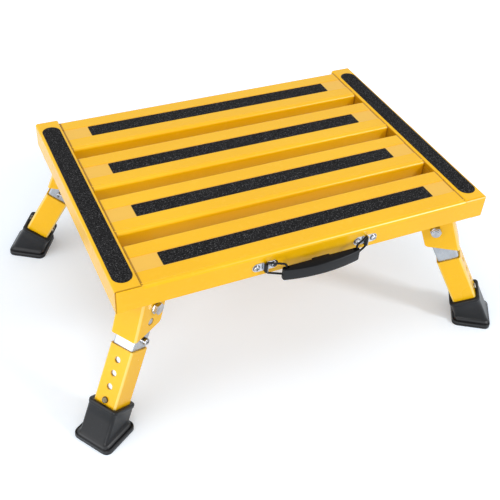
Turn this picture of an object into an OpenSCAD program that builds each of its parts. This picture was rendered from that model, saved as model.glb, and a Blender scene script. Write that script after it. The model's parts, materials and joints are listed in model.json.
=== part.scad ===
// Folding entry step for a caravan: a slatted deck on four splayed, folding legs whose feet
// telescope in three holes, with a small carry handle on the front apron.
// X runs along the deck's long side, -Y is the front with the handle, Z is up.
// The origin is on the ground under the middle of the deck.

/* [Deck] */
// height of the rail tops over the ground with the feet at their shortest
stand_h = 211; // [205:1:240]
// width over both side rails
deck_w = 483; // [470:1:560]
// depth from the apron's front face to the rails' rear ends
deck_d = 347; // [345:1:400]
// width of a side rail
rail_w = 30.5; // [28:0.5:34]
// height of a side rail's outer wall
rail_h = 32; // [31:0.5:36]
// width of the return lip under a side rail
lip_w = 14.5; // [10:0.5:14.5]
// sheet thickness of rails and treads
sheet_t = 1.5; // [1.2:0.1:2]
// outer bend radius of the treads
bend_r = 4; // [2.5:0.5:5]
// depth of the tread skirts, the apron and the rails' inner walls below the rail tops
skirt_h = 30; // [27:0.5:30.5]
// drop of the tread tops below the rail tops
tread_drop = 1.4; // [1:0.1:2]
// width of a tread
tread_w = 71; // [66:1:76]
// distance from one tread to the next
tread_pitch = 91; // [86:1:91]
// distance of the rear tread's edge from the rails' rear ends
rear_set = 3.5; // [2:0.5:5]
// sideways step of the apron's ends from the rails' outer faces
apron_set = 1; // [0.5:0.5:2]
// drop of the apron's ends below the rail tops
apron_drop = 0.6; // [0.4:0.1:1]
// distance of the bead from a tread's front edge
bead_set = 6; // [5:0.5:9]

/* [Anti-slip strips] */
// width of a tread strip
strip_w = 22.5; // [18:0.5:26]
// length of a tread strip
strip_l = 356; // [300:2:400]
// thickness of all strips
strip_t = 0.8; // [0.7:0.1:1.2]
// width of the recessed band that a tread strip lies in
band_w = 25; // [23:0.5:30]
// depth of the recessed band
band_d = 0.6; // [0.4:0.1:0.8]
// width of the round-ended strip on a side rail
side_strip_w = 23.4; // [18:0.2:24]
// distance of the side strip from the rail's front end
side_strip_front = 11; // [6:0.5:20]
// distance of the side strip from the rail's rear end
side_strip_rear = 14; // [6:0.5:20]

/* [Leg] */
// distance of a leg's pivot from the rail's outer face
pivot_in_x = 40.9; // [40:0.1:46]
// distance of a leg's pivot from the deck's front or rear end
pivot_in_y = 34.2; // [33:0.1:36]
// depth of the pivots below the rail tops
pivot_drop = 55.3; // [55:0.1:60]
// splay of a leg from the vertical
splay = 28.5; // [24:0.5:30]
// turn of a leg's outward direction from the deck's long side
turn = 32.5; // [30:0.5:36]
// side of the square leg tube
tube_w = 28; // [26:0.5:28]
// wall of both square tubes
wall = 1.8; // [1.5:0.1:2]
// gap between the leg tube and the foot tube on each side
slide_gap = 0.2; // [0.15:0.05:0.4]
// outer corner radius of the leg tube
tube_r = 2.5; // [2.2:0.1:3]
// length of the leg tube above the pivot
tube_over = 14; // [12:0.5:14]
// length of the leg tube below the snap buttons
tube_under = 22.8; // [18:0.1:24]
// distance of the snap buttons from the ground along the leg
snap_up = 51.5; // [50:0.5:54]
// bare length of leg tube between the release button and the foot tube
foot_tube_low = 9.7; // [9:0.1:11]
// number of height holes below each other
hole_count = 4; // [3:1:4]
// distance from the top height hole to the foot tube's upper end
hole_edge = 15.9; // [14:0.1:17]
// distance of the foot tube's lower end from the ground along the leg
foot_tube_up = 18.7; // [18:0.1:22]

/* [Bracket] */
// lean of the bracket back from the leg's splay
bracket_back = 7.5; // [5:0.5:9]
// thickness of the bracket's sheet
bracket_t = 2.5; // [2:0.1:3]
// gap between a cheek and the leg tube
cheek_gap = 1.8; // [1.2:0.1:2.2]
// distance of the web's inner face from the pivot
web_in = 22.3; // [21.5:0.1:23]
// distance of the cheeks' inner edges from the pivot
cheek_in = 18; // [14:0.5:20]
// depth of the bracket's lower edge below the rail tops
bracket_drop = 84.5; // [82:0.5:87]
// thickness of the plate that joins the bracket to the deck
plate_t = 3; // [2.5:0.1:3]
// reach of the plate from the pivot towards the deck's middle
plate_in = 39.1; // [37:0.1:42]
// reach of the plate past the inner skirt of the tread above it
plate_over = 3; // [1:0.5:5]
// distance of the plate from the deck's front or rear end
plate_set = 5.5; // [4.5:0.5:7]
// cut-off corner of the plate
plate_cut = 22; // [14:1:24]
// rounding of the cheeks' lower corners
cheek_round = 5; // [2:0.5:7]

/* [Pivot and locks] */
// shank diameter of the pivot bolt
bolt_d = 8; // [6:0.5:9]
// running clearance around the bolt's shank
bolt_gap = 0.1; // [0.05:0.01:0.1]
// width across flats of the bolt's head and of the nut
hex_w = 13; // [11:0.5:14]
// height of the bolt's head
head_h = 5.3; // [4:0.1:6]
// height of the lock nut
nut_h = 8; // [6:0.5:9]
// washer outside diameter
washer_d = 16; // [15:0.5:18]
// washer thickness
washer_t = 1.6; // [1:0.1:2]
// distance of the lock pin below the pivot
lock_s = 19; // [18:0.5:21]
// diameter of the lock pin
lock_d = 9; // [8:0.5:9]
// clearance of the lock pin in the bracket's lock hole
lock_gap = 0.3; // [0.2:0.05:0.5]
// distance of the release button below the pivot
release_s = 43.5; // [43:0.5:48]
// diameter of the release button
release_d = 8.4; // [7:0.2:9]
// reach of the release button out of the leg tube
release_out = 8; // [7:0.5:9]
// diameter of a snap button
snap_d = 7.8; // [6.5:0.1:8]
// reach of a snap button out of the foot tube
snap_out = 2.8; // [2:0.1:3.5]
// clearance of a snap button in the two tubes' holes
snap_gap = 0.1; // [0.05:0.01:0.1]
// straight length of the lock spring below the release button
spring_under = 9; // [7:0.5:10]
// length of the snap clip above the snap buttons
clip_over = 26; // [22:1:30]
// length of the snap clip below the snap buttons
clip_under = 8; // [6:0.5:12]

/* [Foot] */
// outward reach of the sole from the leg's axis
sole_out = 22; // [20:0.5:26]
// inward reach of the sole from the leg's axis
sole_in = 30.7; // [28:0.5:32]
// width of the sole across the leg
sole_w = 55; // [50:0.5:58]
// rubber wall around the foot tube
boot_wall = 4.2; // [3:0.1:5]
// length of foot tube that sits in the rubber foot
boot_grip = 27; // [22:0.5:28]
// thickness of the sole's flared edge
sole_t = 4.5; // [3.5:0.5:6]

/* [Carry handle] */
// distance of each strap's middle from the deck's middle
strap_x = 66; // [60:0.5:72]
// depth of the straps' middle below the rail tops
strap_drop = 17.2; // [16.5:0.1:18]
// length of a strap
strap_l = 32; // [31:0.5:36]
// height of a strap
strap_h = 11.5; // [10:0.5:12]
// sheet thickness of a strap
strap_t = 1; // [0.8:0.1:1.2]
// distance of each screw from its strap's middle
screw_x = 11; // [10.5:0.1:12]
// diameter of a screw's pan head
screw_head_d = 7.4; // [6:0.2:8]
// height of a screw's pan head
screw_head_h = 2.2; // [1.8:0.1:2.4]
// wire diameter of the bails
wire_d = 2.5; // [2:0.1:2.8]
// distance of the bail's turning axis from the apron
bail_off = 4; // [3.6:0.1:4.4]
// height of a bail between the middles of its wires
bail_h = 15.2; // [15:0.1:16]
// sideways reach of a bail from its turning axis to the bar in the grip
bail_x = 20; // [19:0.1:20.5]
// forward reach of a bail from its turning axis to the bar in the grip
bail_y = 10.1; // [9.5:0.1:10.5]
// length of the grip
grip_l = 100; // [99:0.5:101]
// height of the grip
grip_h = 16.5; // [15:0.5:18]
// depth of the grip's top below the rail tops
grip_drop = 15.2; // [13.5:0.1:16]
// thickness of the grip at its ends
grip_t = 6; // [6:0.1:7]
// bulge of the grip's front face in its middle
grip_bulge = 6; // [3:0.5:8]

/* [Hidden] */
$fn = 64;
yellow = [0.98, 0.80, 0.20];
black = [0.12, 0.12, 0.12];
rubber = [0.18, 0.18, 0.19];
zinc = [0.80, 0.82, 0.84];
steel = [0.62, 0.63, 0.65];

over = 1;
half_w = deck_w / 2;
half_d = deck_d / 2;
rail_in = half_w - rail_w;
rail_front = half_d - sheet_t;
rail_bend_r = 3;
skirt_z = stand_h - skirt_h;
tread_z = stand_h - tread_drop;
bead_r = 1.2;
bead_rise = 0.35;

pivot_x = half_w - pivot_in_x;
pivot_y = half_d - pivot_in_y;
pivot_z = stand_h - pivot_drop;
axis_len = pivot_z / cos(splay);
snap_s = axis_len - snap_up;
foot_tube_w = tube_w + 2 * slide_gap + 2 * wall;
foot_tube_r = 3;
foot_tube_end = axis_len - foot_tube_up;
foot_tube_top = release_s + release_d / 2 + foot_tube_low;
hole_pitch = (snap_s - foot_tube_top - hole_edge) / (hole_count - 1);
tube_end = snap_s + tube_under;

lean = splay - bracket_back;
cheek_y = tube_w / 2 + cheek_gap;
bracket_y = cheek_y + bracket_t;
web_out = web_in + bracket_t;
web_r = 4;
plate_x0 = pivot_x - plate_in;
plate_x1 = half_w - lip_w - over;
plate_y0 = half_d - tread_w - plate_over;
plate_y1 = half_d - plate_set;

hex_face = 0.95;
nut_collar = 2;

tube_in = tube_w / 2 - wall;
corner_more = 0.5;
leaf_t = 1;
leaf_w = 12;
leaf_gap = 0.1;
flange_t = 1.4;
flange_w = 1.8;
button_dome = 1.5;
cup_rim = 0.3;
cup_depth = 1.6;
leaf_y = tube_in - 2 * leaf_gap - flange_t;
leaf_back = leaf_gap - tube_in;
lock_inset = 0.5;
lock_tip = bracket_y - lock_inset;
lock_edge = 0.8;
spring_top = 8;
spring_low = release_s + spring_under;
clip_high = snap_s - clip_over;
clip_low = snap_s + clip_under;
clip_x = tube_in - 2 * leaf_gap - flange_t;
snap_tip = foot_tube_w / 2 + snap_out;

boot_w = foot_tube_w + 2 * boot_wall;
boot_r = 5;
boot_fit = 0.1;
boot_low = 9;
boot_rim_h = 4;
boot_rim_out = 0.8;
sole_r = 8;
sole_top = 7;
sole_edge = 0.4;
sole_chamfer = 2.5;
sole_step = 5;
slice = 0.5;
fine = 32;

wire_r = wire_d / 2;
tunnel_gap = 0.35;
tunnel_r = wire_r + tunnel_gap;
bail_len = sqrt(bail_x * bail_x + bail_y * bail_y);
bail_turn = atan2(bail_y, bail_x);
bail_bend = 3;
strap_z = stand_h - strap_drop;
grip_z1 = stand_h - grip_drop;
grip_z0 = grip_z1 - grip_h;
bail_axis_y = -half_d - bail_off;
bail_bar_y = bail_axis_y - bail_y;
bar_set = 0.1;
grip_back = bail_bar_y + grip_t / 2 + bar_set;
grip_front = grip_back - grip_t;
grip_arc_r = (grip_l * grip_l / 4 + grip_bulge * grip_bulge) / (2 * grip_bulge);
bar_x_in = strap_x - bail_len;
bar_reach = 1;
bar_x_out = strap_x - bail_x + bar_reach;
slot_gap = 0.35;
ridge_l = 23;
ridge_t = 2;
screw_shank_d = 4;
screw_gap = 0.1;
screw_shank_l = 9;
cross_w = 1.1;
cross_l = 4.6;
cross_d = 1.1;

// square with rounded corners, centred
module rounded_square(w, r) {
    square([w, w - 2 * r], center = true);
    square([w - 2 * r, w], center = true);
    for (x = [-1, 1], y = [-1, 1])
        translate([x * (w / 2 - r), y * (w / 2 - r)]) circle(r);
}

// rectangle that hangs from the x axis, with its two top corners rounded
module hanging_rectangle(x0, x1, h, r) {
    translate([x0, -h]) square([x1 - x0, h - r]);
    translate([x0 + r, -r]) square([x1 - x0 - 2 * r, r]);
    translate([x0 + r, -r]) circle(r);
    translate([x1 - r, -r]) circle(r);
}

// rectangle with four rounded corners
module rounded_plan(x0, x1, y0, y1, r) {
    translate([x0 + r, y0]) square([x1 - x0 - 2 * r, y1 - y0]);
    translate([x0, y0 + r]) square([x1 - x0, y1 - y0 - 2 * r]);
    for (x = [x0 + r, x1 - r], y = [y0 + r, y1 - r])
        translate([x, y]) circle(r);
}

// the same shape on the other side where s is negative
module flip_x(s) {
    if (s < 0) mirror([1, 0, 0]) children();
    else children();
}

module flip_y(s) {
    if (s < 0) mirror([0, 1, 0]) children();
    else children();
}

// profile in the YZ plane run along X, centred
module along_x(l) {
    rotate([90, 0, 90]) translate([0, 0, -l / 2]) linear_extrude(l) children();
}

// frame on a leg's pivot: X points outward, Z up
module at_pivot(sx, sy) {
    translate([sx * pivot_x, sy * pivot_y, pivot_z])
        rotate([0, 0, atan2(sy * sin(turn), sx * cos(turn))]) children();
}

// frame on a leg's pivot with Z up along the leg
module at_leg(sx, sy) {
    at_pivot(sx, sy) rotate([0, -splay, 0]) children();
}

// round bar along Y from y0 to y1, at the height z
module bar_y(d, y0, y1, z) {
    translate([0, y0, z]) rotate([-90, 0, 0]) cylinder(d = d, h = y1 - y0);
}

// round bar along X from x0 to x1, at the height z
module bar_x(d, x0, x1, z) {
    translate([x0, 0, z]) rotate([0, 90, 0]) cylinder(d = d, h = x1 - x0);
}

// section of one side rail, from its inner wall to its outer wall
module rail_section() {
    difference() {
        translate([0, stand_h]) hanging_rectangle(rail_in, half_w, rail_h, rail_bend_r);
        translate([0, stand_h - sheet_t])
            hanging_rectangle(rail_in + sheet_t, half_w - sheet_t, rail_h, rail_bend_r - sheet_t);
        translate([rail_in - over, stand_h - rail_h - over])
            square([sheet_t + 2 * over, rail_h - skirt_h + over]);
    }
    translate([half_w - lip_w, stand_h - rail_h]) square([lip_w, sheet_t]);
}

module side_rail(sx) {
    color(yellow) flip_x(sx)
        translate([0, half_d, 0]) rotate([90, 0, 0])
            linear_extrude(half_d + rail_front) rail_section();
}

// section of one tread between its two skirts, with the band for the strip and the bead
module tread_section(y0, y1, yc) {
    difference() {
        union() {
            translate([0, tread_z]) hanging_rectangle(y0, y1, tread_z - skirt_z, bend_r);
            translate([y0 + bead_set, tread_z - bead_r + bead_rise]) circle(bead_r);
        }
        difference() {
            translate([0, tread_z - sheet_t])
                hanging_rectangle(y0 + sheet_t, y1 - sheet_t, skirt_h, bend_r - sheet_t);
            translate([yc - band_w / 2 - sheet_t, tread_z - sheet_t - band_d])
                square([band_w + 2 * sheet_t, band_d + over]);
        }
        translate([yc - band_w / 2, tread_z - band_d]) square([band_w, band_d + over]);
    }
}

// middle of a tread, counted from the front
function tread_y(i) = (i - 1.5) * tread_pitch;

module tread(i) {
    y0 = i == 0 ? -half_d : tread_y(i) - tread_w / 2;
    y1 = i == 3 ? half_d - rear_set : tread_y(i) + tread_w / 2;
    color(yellow) difference() {
        union() {
            along_x(2 * rail_in) tread_section(y0, y1, tread_y(i));
            if (i == 0) apron_ends();
        }
        if (i == 0)
            at_strap_screws() bar_y(screw_shank_d + 2 * screw_gap, -over, screw_shank_l, 0);
    }
}

// the two ends of the apron that close the side rails' front ends
module apron_ends() {
    w = rail_w - apron_set;
    top = stand_h - apron_drop - sheet_t / 2;
    for (s = [-1, 1])
        translate([s * (rail_in + w / 2), -half_d + sheet_t / 2, 0]) along_x(w) {
            translate([-sheet_t / 2, skirt_z]) square([sheet_t, top - skirt_z]);
            translate([0, top]) circle(sheet_t / 2);
        }
}

module tread_strip(i) {
    color(black)
        translate([-strip_l / 2, tread_y(i) - strip_w / 2, tread_z - band_d])
            cube([strip_l, strip_w, strip_t]);
}

module side_strip(sx) {
    r = side_strip_w / 2;
    y0 = -rail_front + side_strip_front + r;
    y1 = half_d - side_strip_rear - r;
    color(black)
        translate([sx * (half_w - rail_w / 2), 0, stand_h]) linear_extrude(strip_t) {
            translate([-r, y0]) square([side_strip_w, y1 - y0]);
            translate([0, y0]) circle(r);
            translate([0, y1]) circle(r);
        }
}

// bracket around the upper end of a leg: U channel of bent sheet on a corner plate
module bracket_channel() {
    difference() {
        translate([0, 0, -bracket_drop]) linear_extrude(2 * bracket_drop) {
            difference() {
                rounded_plan(-cheek_in - web_out, web_out, -bracket_y, bracket_y, web_r);
                rounded_plan(-cheek_in - 2 * web_out, web_in, -cheek_y, cheek_y,
                             web_r - bracket_t);
            }
        }
        translate([-cheek_in - 3 * web_out, -2 * bracket_y, -2 * bracket_drop])
            cube([3 * web_out, 4 * bracket_y, 4 * bracket_drop]);
    }
}

// what the rounding takes off the cheeks' lower inner corners
module cheek_corner() {
    low = pivot_drop - bracket_drop;
    r = cheek_round;
    zc = low + r;
    xc = (r - cheek_in - zc * sin(lean)) / cos(lean);
    edge = [for (i = [0 : 3]) let (a = 270 - i * (90 - lean) / 3)
        [xc + r * cos(a), zc + r * sin(a)]];
    first = 2 * edge[0] - edge[1];
    last = 2 * edge[3] - edge[2];
    rotate([90, 0, 0]) translate([0, 0, -2 * bracket_y]) linear_extrude(4 * bracket_y)
        polygon([first, edge[1], edge[2], last, [last[0] - r, low], [last[0], low - r]]);
}

module bracket_plate(sx, sy) {
    flip_x(sx) flip_y(sy) translate([0, 0, skirt_z - plate_t]) linear_extrude(plate_t)
        polygon([[plate_x1, plate_y0], [plate_x1, plate_y1], [plate_x0 + plate_cut, plate_y1],
                 [plate_x0, plate_y1 - plate_cut], [plate_x0, plate_y0]]);
}

module bracket(sx, sy) {
    color(yellow) {
        difference() {
            at_pivot(sx, sy) difference() {
                rotate([0, -lean, 0]) bracket_channel();
                cheek_corner();
                bar_y(bolt_d + 2 * bolt_gap, -2 * bracket_y, 2 * bracket_y, 0);
                rotate([0, -splay, 0]) bar_y(lock_d + 2 * lock_gap, 0, 2 * bracket_y, -lock_s);
            }
            translate([0, 0, skirt_z - plate_t / 2 + half_d])
                cube([2 * deck_w, 2 * deck_d, deck_d], center = true);
            translate([0, 0, stand_h - bracket_drop - half_d])
                cube([2 * deck_w, 2 * deck_d, deck_d], center = true);
        }
        bracket_plate(sx, sy);
    }
}

// hexagon along Z whose upper corners are turned off
module hexagon(h) {
    intersection() {
        cylinder(d = hex_w / cos(30), h = h, $fn = 6);
        translate([0, 0, -over])
            cylinder(d1 = hex_face * hex_w + 2 * (h + over) / tan(30), d2 = hex_face * hex_w,
                     h = h + over);
    }
}

module pivot_bolts() {
    color(steel)
        for (sx = [-1, 1], sy = [-1, 1]) at_pivot(sx, sy) {
            bar_y(bolt_d, -bracket_y - nut_h - over, bracket_y + washer_t, 0);
            translate([0, bracket_y + washer_t, 0]) rotate([-90, 0, 0]) hexagon(head_h);
        }
}

module pivot_washers() {
    color(zinc)
        for (sx = [-1, 1], sy = [-1, 1]) at_pivot(sx, sy) difference() {
            bar_y(washer_d, bracket_y, bracket_y + washer_t, 0);
            bar_y(bolt_d + 2 * bolt_gap, bracket_y - over, bracket_y + washer_t + over, 0);
        }
}

module pivot_nuts() {
    hex_h = nut_h - nut_collar;
    color(steel)
        for (sx = [-1, 1], sy = [-1, 1]) at_pivot(sx, sy) difference() {
            union() {
                translate([0, -bracket_y, 0]) rotate([90, 0, 0]) hexagon(hex_h);
                bar_y(hex_w - over, -bracket_y - nut_h, -bracket_y - hex_h, 0);
            }
            bar_y(bolt_d, -bracket_y - 2 * nut_h, -bracket_y + over, 0);
        }
}

// square tube around the Z axis between two heights
module square_tube(w, r, z0, z1) {
    translate([0, 0, z0]) linear_extrude(z1 - z0) difference() {
        rounded_square(w, r);
        rounded_square(w - 2 * wall, r - wall + corner_more);
    }
}

module leg_tube(sx, sy) {
    color(zinc) at_leg(sx, sy) difference() {
        square_tube(tube_w, tube_r, -tube_end, tube_over);
        bar_y(bolt_d + 2 * bolt_gap, -tube_w, tube_w, 0);
        bar_y(lock_d + 2 * leaf_gap, 0, tube_w, -lock_s);
        bar_y(release_d + 2 * snap_gap, 0, tube_w, -release_s);
        bar_x(snap_d + 2 * snap_gap, -tube_w, tube_w, -snap_s);
    }
}

// hairpin of flat spring: two arms at a and b joined by a half round on the side of z1
module hairpin(a, b, z0, z1) {
    s = z1 > z0 ? 1 : -1;
    r = (b - a) / 2;
    zc = z1 - s * r;
    translate([a, min(z0, zc)]) square([leaf_t, abs(zc - z0)]);
    translate([b - leaf_t, min(z0, zc)]) square([leaf_t, abs(zc - z0)]);
    translate([(a + b) / 2, zc]) difference() {
        circle(r);
        circle(r - leaf_t);
        translate([-2 * r, s > 0 ? -2 * r : 0]) square([4 * r, 2 * r]);
    }
}

// leaf that carries the lock pin
module lock_spring(sx, sy) {
    low = -spring_low - leaf_y;
    color(steel) at_leg(sx, sy) {
        along_x(leaf_w) difference() {
            hairpin(leaf_back, leaf_y, -spring_top, low);
            translate([-tube_w, -spring_top]) square([2 * tube_w, tube_w]);
        }
        bar_y(lock_d, leaf_y - leaf_t / 2, lock_tip - lock_edge, -lock_s);
        translate([0, lock_tip - lock_edge, -lock_s]) rotate([-90, 0, 0])
            cylinder(d1 = lock_d, d2 = lock_d - 2 * lock_edge, h = lock_edge);
    }
}

// turned button: flange, shank and rounded end, along Z from the flange
module button(d, reach) {
    dome = button_dome;
    cylinder(d = d + 2 * flange_w, h = flange_t);
    cylinder(d = d, h = reach - dome);
    translate([0, 0, reach - dome]) {
        cylinder(d = d - 2 * dome, h = dome);
        rotate_extrude() translate([d / 2 - dome, 0]) intersection() {
            circle(dome);
            square(dome);
        }
    }
}

// button whose end is hollowed for the thumb
module release_button(sx, sy) {
    reach = tube_w / 2 + release_out - leaf_y;
    color(zinc) at_leg(sx, sy)
        translate([0, leaf_y, -release_s]) rotate([-90, 0, 0]) difference() {
            button(release_d, reach);
            translate([0, 0, reach - cup_depth])
                cylinder(d = release_d - 2 * button_dome - 2 * cup_rim, h = cup_depth + over);
        }
}

// leaf that presses the two snap buttons apart
module snap_clip(sx, sy) {
    color(steel) at_leg(sx, sy) rotate([0, 0, -90])
        along_x(leaf_w) hairpin(-clip_x, clip_x, -clip_low, -clip_high);
}

module snap_button(sx, sy, side) {
    color(zinc) at_leg(sx, sy)
        translate([side * clip_x, 0, -snap_s]) rotate([0, side * 90, 0])
            button(snap_d, snap_tip - clip_x);
}

module foot_tube(sx, sy) {
    color(yellow) at_leg(sx, sy) difference() {
        square_tube(foot_tube_w, foot_tube_r, -foot_tube_end, -foot_tube_top);
        for (i = [0 : hole_count - 1])
            bar_x(snap_d + 2 * snap_gap, -tube_w, tube_w, i * hole_pitch - snap_s);
    }
}

// slice of the sole at the height z over the ground, drawn in by a margin
module sole_slice(z, m) {
    gx = pivot_z * tan(splay);
    translate([0, 0, z - pivot_z]) linear_extrude(slice)
        rounded_plan(gx - sole_in + m, gx + sole_out - m, m - sole_w / 2, sole_w / 2 - m,
                     sole_r - m / 2);
}

module foot(sx, sy) {
    rim = foot_tube_end - boot_grip;
    color(rubber) at_pivot(sx, sy) difference() {
        union() {
            hull() {
                sole_slice(0, 0, $fn = fine);
                sole_slice(sole_t - slice, sole_edge, $fn = fine);
                sole_slice(sole_top - slice, sole_chamfer, $fn = fine);
            }
            hull() {
                sole_slice(sole_top - slice, sole_step, $fn = fine);
                rotate([0, -splay, 0]) translate([0, 0, boot_low - foot_tube_end])
                    linear_extrude(slice) rounded_square(boot_w, boot_r, $fn = fine);
            }
            difference() {
                rotate([0, -splay, 0]) {
                    translate([0, 0, -axis_len]) linear_extrude(axis_len - rim)
                        rounded_square(boot_w, boot_r);
                    translate([0, 0, -rim - boot_rim_h]) linear_extrude(boot_rim_h)
                        rounded_square(boot_w + 2 * boot_rim_out, boot_r);
                }
                translate([0, 0, -pivot_z - axis_len]) cylinder(r = axis_len, h = axis_len);
            }
        }
        rotate([0, -splay, 0]) translate([0, 0, -foot_tube_end])
            linear_extrude(foot_tube_end) rounded_square(foot_tube_w + 2 * boot_fit, foot_tube_r);
    }
}

// grip seen from above: straight back, arched front, thicker middle behind
module grip_plan() {
    intersection() {
        translate([0, grip_front - grip_bulge + grip_arc_r]) circle(grip_arc_r, $fn = 180);
        translate([-grip_l / 2, grip_back - grip_arc_r]) square([grip_l, grip_arc_r]);
    }
    translate([-ridge_l / 2, grip_back - over]) square([ridge_l, ridge_t + over]);
}

module handle_grip() {
    low_wire = strap_z - bail_h / 2;
    slot_w = wire_d + 2 * slot_gap;
    color(black) difference() {
        translate([0, 0, grip_z0]) linear_extrude(grip_h) grip_plan();
        for (s = [-1, 1]) flip_x(s) {
            translate([bar_x_in - wire_r - slot_gap, bail_bar_y - slot_w / 2, low_wire - slot_w / 2])
                cube([bar_x_out - bar_x_in + slot_w, slot_w, grip_h]);
            translate([bar_x_in - wire_r - slot_gap, bail_bar_y - slot_w / 2, low_wire - slot_w / 2])
                cube([grip_l, grip_t, slot_w]);
        }
    }
}

// closed wire loop that swings about the upright bar in its strap
module handle_bail(sx) {
    r = wire_r;
    b = bail_bend;
    color(black)
        translate([sx * strap_x, bail_axis_y, strap_z])
            rotate([0, 0, sx < 0 ? -bail_turn : bail_turn - 180]) {
                for (x = [0, bail_len])
                    translate([x, 0, b - bail_h / 2]) cylinder(r = r, h = bail_h - 2 * b);
                for (z = [-1, 1])
                    translate([b, 0, z * bail_h / 2]) rotate([0, 90, 0])
                        cylinder(r = r, h = bail_len - 2 * b);
                for (x = [0, 1], z = [-1, 1])
                    translate([x == 0 ? b : bail_len - b, 0, z * (bail_h / 2 - b)])
                        rotate([90, 0, 0])
                            rotate([0, 0, x == 0 ? (z > 0 ? 90 : 180) : (z > 0 ? 0 : 270)])
                                rotate_extrude(angle = 90) translate([b, 0]) circle(r);
            }
}

// places of the strap screws on the apron's front face
module at_strap_screws() {
    for (sx = [-1, 1], s = [-1, 1])
        translate([sx * strap_x + s * screw_x, -half_d, strap_z]) children();
}

// strap of sheet with a tunnel for the bail's upright bar
module handle_strap(sx) {
    reach = bail_off;
    out_r = tunnel_r + strap_t;
    end_x = (strap_l - strap_h) / 2;
    color(zinc)
        translate([sx * strap_x, -half_d, strap_z - strap_h / 2]) difference() {
            union() {
                translate([0, 0, strap_h / 2]) rotate([90, 0, 0]) linear_extrude(strap_t) {
                    square([2 * end_x, strap_h], center = true);
                    for (x = [-end_x, end_x]) translate([x, 0]) circle(strap_h / 2);
                }
                linear_extrude(strap_h) {
                    translate([-out_r, -reach]) square([2 * out_r, reach]);
                    translate([0, -reach]) circle(out_r);
                }
            }
            translate([0, 0, -over]) linear_extrude(strap_h + 2 * over) {
                translate([-tunnel_r, -reach]) square([2 * tunnel_r, reach + over]);
                translate([0, -reach]) circle(tunnel_r);
            }
            for (s = [-1, 1])
                translate([s * screw_x, 0, 0])
                    bar_y(screw_shank_d + 2 * screw_gap, -2 * strap_t, strap_t, strap_h / 2);
        }
}

module strap_screws() {
    color(zinc)
        at_strap_screws()
            translate([0, -strap_t, 0])
                rotate([90, 0, 0]) difference() {
                    union() {
                        translate([0, 0, -screw_shank_l])
                            cylinder(d = screw_shank_d, h = screw_shank_l);
                        cylinder(d = screw_head_d, h = screw_head_h - over);
                        translate([0, 0, screw_head_h - over])
                            cylinder(d = screw_head_d - 2 * over, h = over);
                        translate([0, 0, screw_head_h - over]) rotate_extrude()
                            translate([screw_head_d / 2 - over, 0]) intersection() {
                                circle(over);
                                square(over);
                            }
                    }
                    translate([0, 0, screw_head_h]) {
                        cube([cross_l, cross_w, 2 * cross_d], center = true);
                        cube([cross_w, cross_l, 2 * cross_d], center = true);
                    }
                }
}

side_rail(-1);  // side_rail_left
side_rail(1);  // side_rail_right
tread(0);  // tread_front
tread(1);  // tread_second
tread(2);  // tread_third
tread(3);  // tread_rear
tread_strip(0);  // strip_front
tread_strip(1);  // strip_second
tread_strip(2);  // strip_third
tread_strip(3);  // strip_rear
side_strip(-1);  // strip_rail_left
side_strip(1);  // strip_rail_right
bracket(-1, -1);  // bracket_front_left
bracket(1, -1);  // bracket_front_right
bracket(-1, 1);  // bracket_rear_left
bracket(1, 1);  // bracket_rear_right
pivot_bolts();
pivot_washers();
pivot_nuts();
leg_tube(-1, -1);  // leg_tube_front_left
leg_tube(1, -1);  // leg_tube_front_right
leg_tube(-1, 1);  // leg_tube_rear_left
leg_tube(1, 1);  // leg_tube_rear_right
lock_spring(-1, -1);  // lock_spring_front_left
lock_spring(1, -1);  // lock_spring_front_right
lock_spring(-1, 1);  // lock_spring_rear_left
lock_spring(1, 1);  // lock_spring_rear_right
release_button(-1, -1);  // release_button_front_left
release_button(1, -1);  // release_button_front_right
release_button(-1, 1);  // release_button_rear_left
release_button(1, 1);  // release_button_rear_right
snap_clip(-1, -1);  // snap_clip_front_left
snap_clip(1, -1);  // snap_clip_front_right
snap_clip(-1, 1);  // snap_clip_rear_left
snap_clip(1, 1);  // snap_clip_rear_right
snap_button(-1, -1, 1);  // snap_out_front_left
snap_button(1, -1, 1);  // snap_out_front_right
snap_button(-1, 1, 1);  // snap_out_rear_left
snap_button(1, 1, 1);  // snap_out_rear_right
snap_button(-1, -1, -1);  // snap_in_front_left
snap_button(1, -1, -1);  // snap_in_front_right
snap_button(-1, 1, -1);  // snap_in_rear_left
snap_button(1, 1, -1);  // snap_in_rear_right
foot_tube(-1, -1);  // foot_tube_front_left
foot_tube(1, -1);  // foot_tube_front_right
foot_tube(-1, 1);  // foot_tube_rear_left
foot_tube(1, 1);  // foot_tube_rear_right
foot(-1, -1);  // foot_front_left
foot(1, -1);  // foot_front_right
foot(-1, 1);  // foot_rear_left
foot(1, 1);  // foot_rear_right
handle_grip();
handle_bail(-1);  // handle_bail_left
handle_bail(1);  // handle_bail_right
handle_strap(-1);  // handle_strap_left
handle_strap(1);  // handle_strap_right
strap_screws();
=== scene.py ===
# %% [markdown]
# # A folding caravan step, dressed for a studio picture
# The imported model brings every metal, rubber and plastic part of the step in its right place,
# in metres. This script adds what a drawing of solids can't hold: paint with a fine orange-peel
# skin, anti-slip tape made of loose grit, bright zinc, moulded rubber feet and a soft-edged grip.
# Parts of the model are never moved here. They get a finish, or a finer piece stands for them.

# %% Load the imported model
import math
import json

import bpy
import bmesh
from mathutils import Matrix, Vector


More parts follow.
